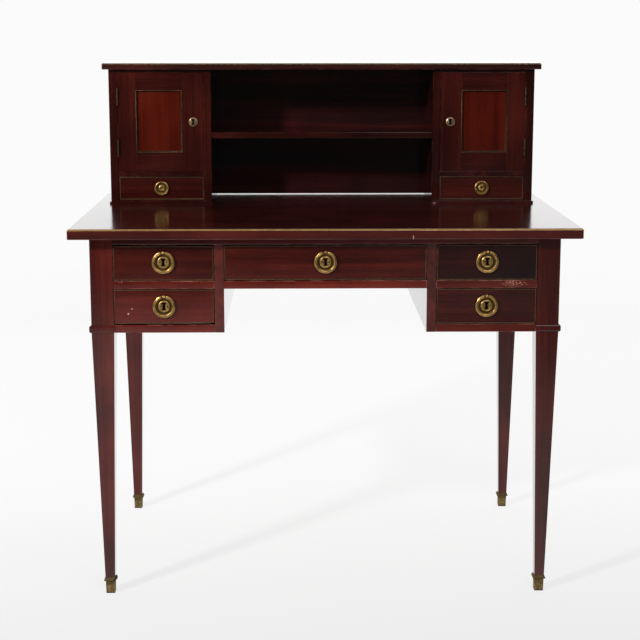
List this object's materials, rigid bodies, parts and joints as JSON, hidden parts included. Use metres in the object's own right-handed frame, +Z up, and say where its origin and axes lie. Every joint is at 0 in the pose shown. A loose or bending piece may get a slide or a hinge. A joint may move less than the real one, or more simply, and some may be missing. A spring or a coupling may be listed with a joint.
{
  "type": "bonheur du jour",
  "caption": "Lady's writing desk on tapered legs, with drawers round a kneehole and a gallery of two small cupboards and open shelves; mahogany with brass mounts.",
  "frame": {"origin": "on the floor under the middle of the table top's outline", "axes": "+X to the sitter's right, +Y from the drawers to the gallery's back, +Z up"},
  "size_m": [1.005, 0.664, 1.0682],
  "materials": {
    "mahogany": "dark red-brown mahogany, worn shellac polish",
    "panel_mahogany": "brighter red mahogany, shellac polish",
    "lining": "plain unpolished secondary wood",
    "brass": "aged brass with dark hollows",
    "iron": "filed dark iron"
  },
  "bodies": {
    "desk": {"table_top": "mahogany", "edge_strips": "brass", "front_legs": "mahogany", "back_legs": "mahogany", "leg_sabots": "brass", "end_panels": "mahogany", "kneehole_panels": "mahogany", "desk_back": "mahogany", "front_rails": "mahogany", "drawer_runners": "lining", "gallery_top": "mahogany", "gallery_ends": "mahogany", "gallery_partitions": "mahogany", "gallery_back": "mahogany", "gallery_shelf": "mahogany", "cupboard_boards": "mahogany", "hinge_end_leaves": "brass"},
    "upper_left_drawer": {"upper_left_drawer_front": "mahogany", "upper_left_drawer_box": "lining", "upper_left_drawer_lock": "brass"},
    "upper_left_ring": {"upper_left_drawer_ring": "brass"},
    "upper_left_bolt": {"upper_left_drawer_bolt": "iron"},
    "lower_left_drawer": {"lower_left_drawer_front": "mahogany", "lower_left_drawer_box": "lining", "lower_left_drawer_lock": "brass"},
    "lower_left_ring": {"lower_left_drawer_ring": "brass"},
    "lower_left_bolt": {"lower_left_drawer_bolt": "iron"},
    "centre_drawer": {"centre_drawer_front": "mahogany", "centre_drawer_box": "lining", "centre_drawer_lock": "brass"},
    "centre_ring": {"centre_drawer_ring": "brass"},
    "centre_bolt": {"centre_drawer_bolt": "iron"},
    "upper_right_drawer": {"upper_right_drawer_front": "mahogany", "upper_right_drawer_box": "lining", "upper_right_drawer_lock": "brass"},
    "upper_right_ring": {"upper_right_drawer_ring": "brass"},
    "upper_right_bolt": {"upper_right_drawer_bolt": "iron"},
    "lower_right_drawer": {"lower_right_drawer_front": "mahogany", "lower_right_drawer_box": "lining", "lower_right_drawer_lock": "brass"},
    "lower_right_ring": {"lower_right_drawer_ring": "brass"},
    "lower_right_bolt": {"lower_right_drawer_bolt": "iron"},
    "small_left_drawer": {"small_left_drawer_front": "mahogany", "small_left_drawer_box": "lining", "small_left_drawer_pull": "brass"},
    "small_left_ring": {"small_left_drawer_ring": "brass"},
    "small_right_drawer": {"small_right_drawer_front": "mahogany", "small_right_drawer_box": "lining", "small_right_drawer_pull": "brass"},
    "small_right_ring": {"small_right_drawer_ring": "brass"},
    "left_door": {"left_door_frame": "mahogany", "left_door_panel": "panel_mahogany", "left_door_lock": "brass", "left_door_hinge_leaves": "brass"},
    "left_bolt": {"left_door_bolt": "iron"},
    "right_door": {"right_door_frame": "mahogany", "right_door_panel": "panel_mahogany", "right_door_lock": "brass", "right_door_hinge_leaves": "brass"},
    "right_bolt": {"right_door_bolt": "iron"}
  },
  "joints": [
    {"name": "upper_left_drawer_slide", "type": "slide", "parent": "desk", "child": "upper_left_drawer", "axis": [0, -1, 0], "range_m": [0, 0.4]},
    {"name": "upper_left_ring_swing", "type": "hinge", "parent": "upper_left_drawer", "child": "upper_left_ring", "pos_m": [-0.3193, -0.29975, 0.71005], "axis": [-1, 0, 0], "range_deg": [0, 90]},
    {"name": "upper_left_bolt_throw", "type": "slide", "parent": "upper_left_drawer", "child": "upper_left_bolt", "axis": [0, 0, 1], "range_m": [0, 0.0065]},
    {"name": "lower_left_drawer_slide", "type": "slide", "parent": "desk", "child": "lower_left_drawer", "axis": [0, -1, 0], "range_m": [0, 0.4]},
    {"name": "lower_left_ring_swing", "type": "hinge", "parent": "lower_left_drawer", "child": "lower_left_ring", "pos_m": [-0.3193, -0.29975, 0.62205], "axis": [-1, 0, 0], "range_deg": [0, 90]},
    {"name": "lower_left_bolt_throw", "type": "slide", "parent": "lower_left_drawer", "child": "lower_left_bolt", "axis": [0, 0, 1], "range_m": [0, 0.0065]},
    {"name": "centre_drawer_slide", "type": "slide", "parent": "desk", "child": "centre_drawer", "axis": [0, -1, 0], "range_m": [0, 0.4]},
    {"name": "centre_ring_swing", "type": "hinge", "parent": "centre_drawer", "child": "centre_ring", "pos_m": [0, -0.29975, 0.71005], "axis": [-1, 0, 0], "range_deg": [0, 90]},
    {"name": "centre_bolt_throw", "type": "slide", "parent": "centre_drawer", "child": "centre_bolt", "axis": [0, 0, 1], "range_m": [0, 0.0065]},
    {"name": "upper_right_drawer_slide", "type": "slide", "parent": "desk", "child": "upper_right_drawer", "axis": [0, -1, 0], "range_m": [0, 0.4]},
    {"name": "upper_right_ring_swing", "type": "hinge", "parent": "upper_right_drawer", "child": "upper_right_ring", "pos_m": [0.3193, -0.29975, 0.71005], "axis": [-1, 0, 0], "range_deg": [0, 90]},
    {"name": "upper_right_bolt_throw", "type": "slide", "parent": "upper_right_drawer", "child": "upper_right_bolt", "axis": [0, 0, 1], "range_m": [0, 0.0065]},
    {"name": "lower_right_drawer_slide", "type": "slide", "parent": "desk", "child": "lower_right_drawer", "axis": [0, -1, 0], "range_m": [0, 0.4]},
    {"name": "lower_right_ring_swing", "type": "hinge", "parent": "lower_right_drawer", "child": "lower_right_ring", "pos_m": [0.3193, -0.29975, 0.62205], "axis": [-1, 0, 0], "range_deg": [0, 90]},
    {"name": "lower_right_bolt_throw", "type": "slide", "parent": "lower_right_drawer", "child": "lower_right_bolt", "axis": [0, 0, 1], "range_m": [0, 0.0065]},
    {"name": "small_left_drawer_slide", "type": "slide", "parent": "desk", "child": "small_left_drawer", "axis": [0, -1, 0], "range_m": [0, 0.13]},
    {"name": "small_left_ring_swing", "type": "hinge", "parent": "small_left_drawer", "child": "small_left_ring", "pos_m": [-0.35465, 0.1075, 0.8084], "axis": [-1, 0, 0], "range_deg": [0, 90]},
    {"name": "small_right_drawer_slide", "type": "slide", "parent": "desk", "child": "small_right_drawer", "axis": [0, -1, 0], "range_m": [0, 0.13]},
    {"name": "small_right_ring_swing", "type": "hinge", "parent": "small_right_drawer", "child": "small_right_ring", "pos_m": [0.35465, 0.1075, 0.8084], "axis": [-1, 0, 0], "range_deg": [0, 90]},
    {"name": "left_door_swing", "type": "hinge", "parent": "desk", "child": "left_door", "pos_m": [-0.44812, 0.1089, 0.9395], "axis": [0, 0, -1], "range_deg": [0, 160]},
    {"name": "left_bolt_throw", "type": "slide", "parent": "left_door", "child": "left_bolt", "axis": [1, 0, 0], "range_m": [0, 0.0065]},
    {"name": "right_door_swing", "type": "hinge", "parent": "desk", "child": "right_door", "pos_m": [0.44812, 0.1089, 0.9395], "axis": [0, 0, 1], "range_deg": [0, 160]},
    {"name": "right_bolt_throw", "type": "slide", "parent": "right_door", "child": "right_bolt", "axis": [-1, 0, 0], "range_m": [0, 0.0065]}
  ]
}
